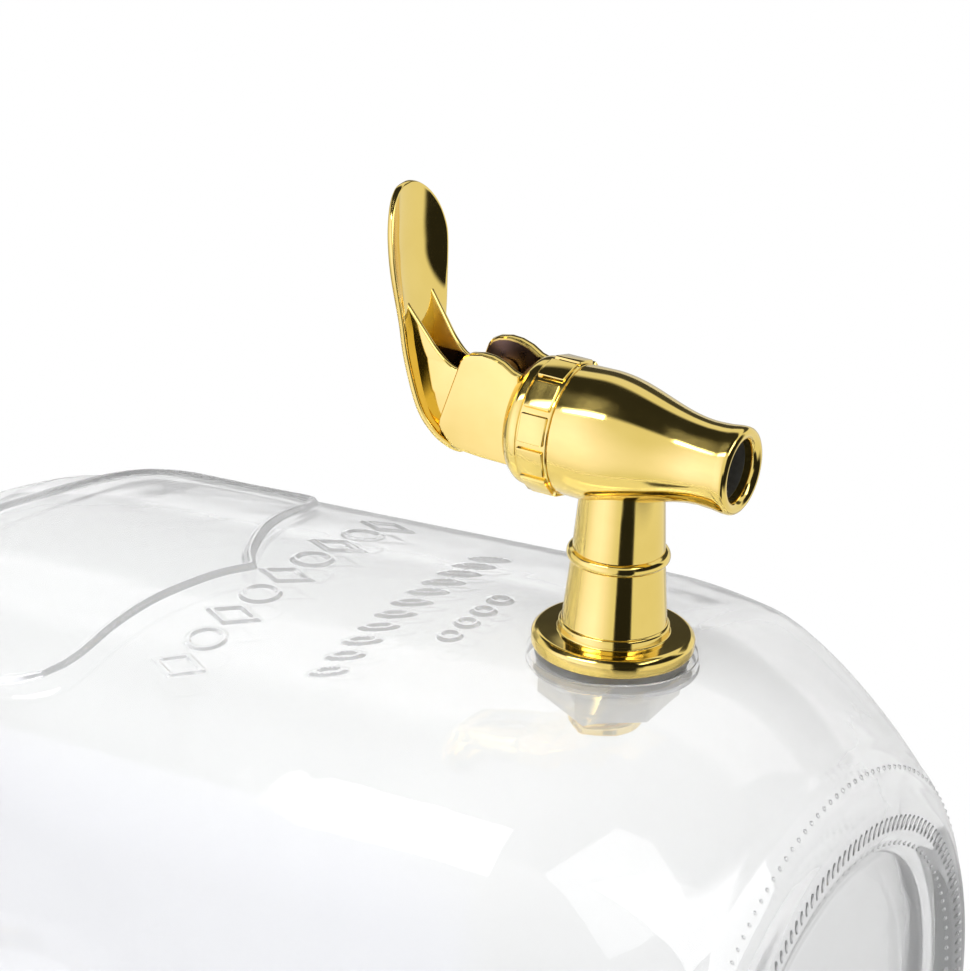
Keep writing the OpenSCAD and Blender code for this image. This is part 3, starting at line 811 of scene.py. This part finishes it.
def ring_shape():
    """A plain ring with raised flats round it, each a softened block."""
    land = 0.45
    flat_w = 2 * math.pi * RING_R / FLATS - 1.2
    bm = bmesh.new()
    add_lathe(bm, [(CUP_R, RIM_Z, 0.2), (RING_R - land, RIM_Z, 0.3), (RING_R - land, LIP_Z, 0.3),
                   (CUP_R, LIP_Z, 0.2)], UPRIGHT, closed=True)
    for i in range(FLATS):
        block = bmesh.new()
        bmesh.ops.create_cube(block, size=1)
        bmesh.ops.scale(block, vec=(2, flat_w, RING_H - 1.0), verts=block.verts)
        bmesh.ops.bevel(block, geom=block.edges[:], offset=0.35, affect="EDGES", segments=3,
                        profile=0.5, material=-1)
        turn = Matrix.Rotation(2 * math.pi * (i + 0.5) / FLATS, 4, "Z")
        place = UPRIGHT @ turn @ Matrix.Translation((RING_R - 1, 0, RIM_Z + RING_H / 2))
        bmesh.ops.transform(block, matrix=place, verts=block.verts)
        joined(bm, block)
    return bm


piece(ring_shape(), "lock_ring_plated", GOLD, "jar_and_tap", "lock_ring", 20)

# ---- the bonnet ----

# Outline of a cheek in the side view
CHEEK_LINE = [
    (-10, DECK_Z - 1), (-10.4, 20.6), (-11.6, 22.6), (-12.3, 24.8), (-12.45, 27), (-12, 29.2),
    (-11.2, 30.6), (-10.2, 31.3), (1.9, 35), (3.2, 35.1), (4.3, 34.6), (5.9, 33.1),
    (6.9, 32), (7.25, 30.6), (7.6, 26), (7.7, DECK_Z - 1),
]


def bonnet_shape():
    """The skirt, the stepped cap with its bore for the rod, and the two cheeks."""
    bm = bmesh.new()
    add_lathe(bm, [(2.1, 14, 0.1), (7, 14, 0.2), (7, CUP_Z + 1, 0.2), (CUP_R - 0.1, CUP_Z + 1, 0.2),
                   (CUP_R - 0.1, LIP_Z, 0.1), (BONNET_R - 0.1, LIP_Z, 0.3),
                   (BONNET_R, LIP_Z + 1.5, 0.6), (BONNET_R - 0.7, LIP_Z + 2.5, 0.8),
                   (BONNET_R - 2.0, DECK_Z, 0.8), (2.1, DECK_Z, 0.3)], UPRIGHT, closed=True)
    for low in (-CHEEKS_W / 2, CHEEK_IN):
        add_plate(bm, CHEEK_LINE, low, low + CHEEK_T, 0.6)
    return bm


bonnet = piece(bonnet_shape(), "bonnet_plated", GOLD, "jar_and_tap", "bonnet", 26)
# Painted shade on the inner faces of the cheeks
paint_inner_shade(bonnet, CHEEK_IN - 0.1, CHEEK_IN + 0.1)

# ---- the lever ----

# Line of the plate's edges in the side view, from its tail to its tip: fore-aft, height and the
# plate's half width there
PLATE = [
    (8.75, 31.2, 4.4), (7.9, 33.4, 5.1), (5.6, 36.7, 5.8), (1, 39.9, 6.4), (-8, 42.5, 7.2),
    (-16, 43.4, 8.4), (-25, 44.4, 9.95), (-30.5, 45.1, 10.05), (-35, 45.3, 10.05),
    (-39.1, 45.4, 10.05),
]
TIP_R = 12.0
TAIL_R = 3.2
RIM_R = 0.6
RIM_T = 1.3

# The plate arches across by this much, and by a share of it as far as the ribs reach along it
CROWN = 3.0
CROWN_SHARE = 0.12
CROWN_FROM = 25.5
CROWN_RUN = 14


def rounded(inset, radius):
    """How far a rounded edge has risen at a distance in from it, as a share of its full height."""
    return math.sqrt(max(0, 1 - max(0, 1 - inset / radius) ** 2))


def lever_plate():
    """The curved plate with its spoon-like paddle: a closed sleeve of rings on the side line."""
    rows, across = 96, 28
    line = curve([Vector(p) for p in PLATE], 12)
    lengths = [0.0]
    for a, b in zip(line, line[1:]):
        lengths.append(lengths[-1] + (b.xy - a.xy).length)
    total = lengths[-1]

    def at(s):
        """The line's point at a distance along it, and the direction inward from there."""
        k = min(max(i for i, l in enumerate(lengths) if l <= s + 1e-9), len(line) - 2)
        t = (s - lengths[k]) / (lengths[k + 1] - lengths[k])
        point = line[k].lerp(line[k + 1], min(1, t))
        run = (line[k + 1].xy - line[k].xy).normalized()
        return point, Vector((-run.y, run.x))

    def ring(s):
        """The plate's section at a distance along it: its outer face, then the hollowed one."""
        point, inward = at(s)
        tip, tail = rounded(total - s, TIP_R), rounded(s, TAIL_R)
        width = point.z * (tip * 0.999 + 0.001) * (0.7 + 0.3 * tail)
        more = (1 - CROWN_SHARE) * smooth_step((s - CROWN_FROM) / CROWN_RUN)
        crown = CROWN * (CROWN_SHARE + more)
        ends = max(0.02, rounded(min(s, total - s), RIM_R))
        faces = ([], [])
        for i in range(across + 1):
            q = -math.cos(math.pi * i / across)
            bowl = abs(q * width / point.z) ** 2.3 - 1
            half = RIM_T / 2 * ends * rounded(max(0.0, (1 - abs(q)) * width), RIM_R)
            for face, side in zip(faces, (-1, 1)):
                p = point.xy + inward * (RIM_T / 2 + crown * bowl + side * half)
                face.append(along_tap(width * q, p.x, p.y))
        return faces[0] + faces[1][::-1]

    around = 2 * (across + 1)
    bm = bmesh.new()
    bmesh.ops.create_grid(bm, x_segments=around, y_segments=rows, size=0.5)
    sections = [ring(total * (0.5 - 0.5 * math.cos(math.pi * (j / rows) ** 0.9)))
                for j in range(rows + 1)]
    for v in bm.verts:
        v.co = sections[round((v.co.y + 0.5) * rows)][round((v.co.x + 0.5) * around) % around]
    merged(bm, 0.003)
    bmesh.ops.holes_fill(bm, edges=[e for e in bm.edges if e.is_boundary], sides=0)
    return facing_out(bm)


# Outline of a rib in the side view, from its point on the plate down, round and back up
RIB_LINE = (
    curve([(-18.1, 43.5), (-13.6, 40.1), (-10, 37.3), (-7.6, 34.4), (-7.4, 31.5)], 5)
    + [Vector(p) for p in ((-8.2, 28.4), (-5.5, 26.8), (-2.6, 28.3), (-2.4, 30.6), (2.8, 30.6),
                           (3.9, 33), (5.3, 35.9), (0.4, 39.6), (-7.6, 42), (-14, 43))]
)
# The splay starts at this plane
RIB_BEND = -8.0
RIB_SPLAY = math.tan(math.radians(7))


def add_rib(bm, side):
    """A rib, straight between the cheeks and splayed outward to its point, with its foot."""
    low = -RIB_OUT if side < 0 else RIB_OUT - RIB_T
    rib = add_plate(bmesh.new(), [p[:] for p in RIB_LINE], low, low + RIB_T, 0.3)
    bmesh.ops.bisect_plane(rib, geom=rib.verts[:] + rib.edges[:] + rib.faces[:],
                           plane_co=along_tap(0, RIB_BEND, 0), plane_no=(0, 1, 0))
    for v in rib.verts:
        v.co.x += side * RIB_SPLAY * max(0.0, RIB_BEND - (v.co.y - AXIS_Y))
    joined(bm, rib)
    add_plate(bm, [(-1.9, 24.6), (2.3, 24.6), (2.3, 32), (-1.9, 32)], low, low + RIB_T, 0.3, 1.2)


def lever_shape():
    """The plate with its ribs, hub and trunnions."""
    bm = lever_plate()
    for side in (-1, 1):
        add_rib(bm, side)
    add_rod(bm, HUB_R, (-RIB_OUT, -PIVOT_FORE, PIVOT_Z), (RIB_OUT, -PIVOT_FORE, PIVOT_Z))
    add_rod(bm, TRUNNION_R, (-RIB_OUT - 1, -PIVOT_FORE, PIVOT_Z),
            (RIB_OUT + 1, -PIVOT_FORE, PIVOT_Z))
    return bm


lever = piece(lever_shape(), "lever_plated", GOLD, "lever", "lever", 50)
# Painted shade on the inner faces of the ribs
paint_inner_shade(lever, RIB_OUT - RIB_T - 0.1, RIB_OUT + 2)

# ---- the return spring ----

SPRING_R = 4.4
WIRE_R = 0.45
SPRING_TURNS = 4.5
FLAT_TURNS = 0.4
SPRING_LOW = 4.22
SPRING_TOP = 14


def spring_shape():
    """One wire of four and a half turns whose end turns lie flat."""
    per_turn, around = 40, 12
    low, high = SPRING_LOW + WIRE_R, SPRING_TOP - WIRE_R
    bm = bmesh.new()
    bmesh.ops.create_grid(bm, x_segments=around, y_segments=round(SPRING_TURNS * per_turn),
                          size=0.5)
    for v in bm.verts:
        t = v.co.y + 0.5
        along = 2 * math.pi * SPRING_TURNS * t
        about = 2 * math.pi * (v.co.x + 0.5)
        r = SPRING_R + WIRE_R * math.cos(about)
        share = (t * SPRING_TURNS - FLAT_TURNS) / (SPRING_TURNS - 2 * FLAT_TURNS)
        z = low + (high - low) * smooth_step(share) + WIRE_R * math.sin(about)
        v.co = along_tap(r * math.cos(along), r * math.sin(along), z)
    merged(bm, 0.0005)
    bmesh.ops.holes_fill(bm, edges=[e for e in bm.edges if e.is_boundary], sides=0)
    return facing_out(bm)


spring = piece(spring_shape(), "return_spring_wire", SPRING, "jar_and_tap",
               "return_spring", 60)
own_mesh(spring)

# ---- floor, lights and camera ----


def backdrop_material():
    """Pale floor, clear from below, where the main view stands."""
    m = Recipe("pale_floor")
    greys = [(0.3, (0.84, 0.84, 0.84)), (0.7, (0.87, 0.87, 0.87))]
    m.feed("Base Color", m.ramp(m.noise(3, 4), greys))
    m.shader.inputs["Roughness"].default_value = 0.8
    clear = m.nodes.new("ShaderNodeBsdfTransparent")
    side = m.nodes.new("ShaderNodeNewGeometry")
    both = m.nodes.new("ShaderNodeMixShader")
    m.links.new(side.outputs["Backfacing"], both.inputs[0])
    m.links.new(m.shader.outputs[0], both.inputs[1])
    m.links.new(clear.outputs[0], both.inputs[2])
    m.links.new(both.outputs[0], m.nodes["Material Output"].inputs["Surface"])
    return m.material


def flat_stage(name, width, height, place, material):
    """A flat rectangle that belongs to the studio."""
    bm = bmesh.new()
    bm.loops.layers.uv.new("UVMap")
    bmesh.ops.create_grid(bm, x_segments=1, y_segments=1, size=0.5, calc_uvs=True)
    bmesh.ops.scale(bm, vec=(width * MM, height * MM, 1), verts=bm.verts)
    bmesh.ops.transform(bm, matrix=place, verts=bm.verts)
    mesh = bpy.data.meshes.new(name)
    bm.to_mesh(mesh)
    bm.free()
    mesh.materials.append(material)
    obj = bpy.data.objects.new(name, mesh)
    bpy.context.scene.collection.objects.link(obj)
    return obj


FLOOR_W = 6000
floor = flat_stage("floor", FLOOR_W, FLOOR_W, Matrix.Identity(4), backdrop_material())
floor.visible_glossy = False
floor.visible_transmission = False

# What the lamps and cards stand round
SUBJECT = Vector((0, AXIS_Y, TAP_Z)) * MM

# Where the camera stands and how it is turned, in the jar's own frame
CAMERA_AT = Vector((-863.36, -519.43, -372.29)) * MM
CAMERA_RIGHT = Vector((0.48321, -0.05129, -0.874))
CAMERA_UP = Vector((0.32237, -0.91773, 0.23208))
CAMERA_BACK = Vector((-0.81399, -0.39389, -0.42693))
CAMERA_LENS = 215.57
SENSOR_W = 36


def studio_direction(right, up, back):
    """A direction counted right, up and toward the camera, as the main view has them."""
    return (CAMERA_RIGHT * right + CAMERA_UP * up + CAMERA_BACK * back).normalized()


# Tint of the bright cards
COOL = (1.0, 1.0, 1.55)


def card_material(name, level, soft):
    """A card of even light that fades out over so much of its width along each edge."""
    m = Recipe(name)
    nodes, links = m.nodes, m.links
    glow = nodes.new("ShaderNodeEmission")
    tint = COOL if level > 1 else (1, 1, 1)
    stops = [(at, tuple(level * more * c for c in tint)) for at, more in ((0.3, 1), (0.7, 1.08))]
    links.new(m.ramp(m.noise(3), stops), glow.inputs["Color"])
    across = nodes.new("ShaderNodeSeparateXYZ")
    links.new(nodes.new("ShaderNodeTexCoord").outputs["UV"], across.inputs[0])
    shares = []
    for axis in (0, 1):
        fold = nodes.new("ShaderNodeMath")
        fold.operation = "PINGPONG"
        fold.inputs[1].default_value = 0.5
        links.new(across.outputs[axis], fold.inputs[0])
        fade = nodes.new("ShaderNodeMapRange")
        fade.interpolation_type = "SMOOTHSTEP"
        fade.inputs["From Max"].default_value = soft
        links.new(fold.outputs[0], fade.inputs["Value"])
        shares.append(fade.outputs["Result"])
    share = nodes.new("ShaderNodeMath")
    share.operation = "MULTIPLY"
    links.new(shares[0], share.inputs[0])
    links.new(shares[1], share.inputs[1])
    mixed = nodes.new("ShaderNodeMixShader")
    links.new(share.outputs[0], mixed.inputs[0])
    links.new(nodes.new("ShaderNodeBsdfTransparent").outputs[0], mixed.inputs[1])
    links.new(glow.outputs[0], mixed.inputs[2])
    links.new(mixed.outputs[0], nodes["Material Output"].inputs["Surface"])
    return m.material


def facing(at, normal, upward):
    """Places a flat card at a point with its face along a direction."""
    right = upward.cross(normal).normalized()
    turn = Matrix((right, normal.cross(right), normal)).transposed().to_4x4()
    return Matrix.Translation(at) @ turn


def board(name, width, height, place, level, soft, glass=False):
    """A card seen only in reflections, and through glass if asked."""
    obj = flat_stage(name, width, height, place, card_material(name, level, soft))
    obj.visible_camera = False
    obj.visible_diffuse = False
    obj.visible_shadow = False
    obj.visible_transmission = glass


def card(name, direction, distance, across, tall, level, soft=0.2, glass=False):
    """A card around the tap, so many millimetres away and so many degrees across and tall."""
    towards = studio_direction(*direction)
    width, height = (2 * distance * math.tan(math.radians(a / 2)) for a in (across, tall))
    place = facing(SUBJECT + towards * distance * MM, towards, CAMERA_UP)
    board(name, width, height, place, level, soft, glass)


card("card_left", (-0.8, -0.1, 0.5), 900, 96, 116, 1.34, 0.5)
card("card_overhead", (-0.15, 0.95, 0.25), 520, 104, 76, 0.03, 0.14)
card("card_up_behind", (0.25, 0.68, -0.69), 700, 100, 26, 0.06)
card("card_low_front", (0.21, -0.7, 0.6), 420, 40, 66, 0.02, glass=True)
card("card_behind_right", (0.42, -0.12, -0.9), 620, 24, 90, 0.6, 0.3)
card("card_behind_left", (-0.72, -0.1, -0.68), 650, 28, 100, 0.3, 0.3)
card("card_behind", (0, 0.08, -1), 720, 46, 66, 0.55, 0.35)

# A dark card under the tap, for the far side of the paddle's hollow
under_paddle = facing(Vector((12, -130, -26)) * MM, Vector((0, -0.15, 0.99)).normalized(),
                      Vector((0, 1, 0)))
board("card_under_paddle", 136, 98, under_paddle, 0.02, 0.17)

# A dark strip just beside the stem, for the stripe along it
beside_stem = facing(Vector((-14.5, -90.6, TAP_Z - 12.4)) * MM,
                     Vector((-0.72, 0, -0.69)).normalized(), Vector((0.69, 0, -0.72)))
board("card_stem", 28, 11, beside_stem, 0.02, 0.15)


def lamp(name, direction, distance, size, power):
    """A square lamp around the tap, its distance and size in millimetres and its power in watts."""
    towards = studio_direction(*direction)
    data = bpy.data.lights.new(name, "AREA")
    data.shape = "SQUARE"
    data.size = size * MM
    data.energy = power
    obj = bpy.data.objects.new(name, data)
    obj.location = SUBJECT + towards * distance * MM
    obj.rotation_mode = "QUATERNION"
    obj.rotation_quaternion = towards.to_track_quat("Z", "Y")
    bpy.context.scene.collection.objects.link(obj)


lamp("key_lamp", (-0.5, 0.9, 0.6), 1200, 700, 16)
lamp("fill_lamp", (0.9, 0.4, 0.7), 1400, 900, 9)

# Strength of the white world as it lights, as it shows in reflections, and as it is seen
# directly and through glass
WORLD_LIGHT = 0.55
WORLD_GLOSS = 0.88
WORLD_SEEN = 1.0

world = bpy.data.worlds.new("studio")
world.use_nodes = True
bpy.context.scene.world = world
world_nodes, world_links = world.node_tree.nodes, world.node_tree.links
ray = world_nodes.new("ShaderNodeLightPath")
seen = world_nodes.new("ShaderNodeMath")
seen.operation = "MAXIMUM"
world_links.new(ray.outputs["Is Camera Ray"], seen.inputs[0])
world_links.new(ray.outputs["Is Transmission Ray"], seen.inputs[1])
lit = world_nodes["Background"]
lit.inputs["Color"].default_value = (1, 1, 1, 1)
lit.inputs["Strength"].default_value = WORLD_LIGHT
for share, strength in ((ray.outputs["Is Glossy Ray"], WORLD_GLOSS),
                        (seen.outputs[0], WORLD_SEEN)):
    white = world_nodes.new("ShaderNodeBackground")
    white.inputs["Color"].default_value = (1, 1, 1, 1)
    white.inputs["Strength"].default_value = strength
    mix = world_nodes.new("ShaderNodeMixShader")
    world_links.new(share, mix.inputs[0])
    world_links.new(lit.outputs[0], mix.inputs[1])
    world_links.new(white.outputs[0], mix.inputs[2])
    lit = mix
world_links.new(lit.outputs[0], world_nodes["World Output"].inputs["Surface"])

camera_data = bpy.data.cameras.new("camera")
camera_data.sensor_fit = "HORIZONTAL"
camera_data.sensor_width = SENSOR_W
camera_data.lens = CAMERA_LENS
camera_data.clip_start = 0.05
camera_data.clip_end = 20
camera = bpy.data.objects.new("camera", camera_data)
camera.matrix_world = Matrix.Translation(CAMERA_AT) @ Matrix(
    (CAMERA_RIGHT, CAMERA_UP, CAMERA_BACK)).transposed().to_4x4()
bpy.context.scene.collection.objects.link(camera)
bpy.context.scene.camera = camera
bpy.context.scene.view_settings.view_transform = "Standard"
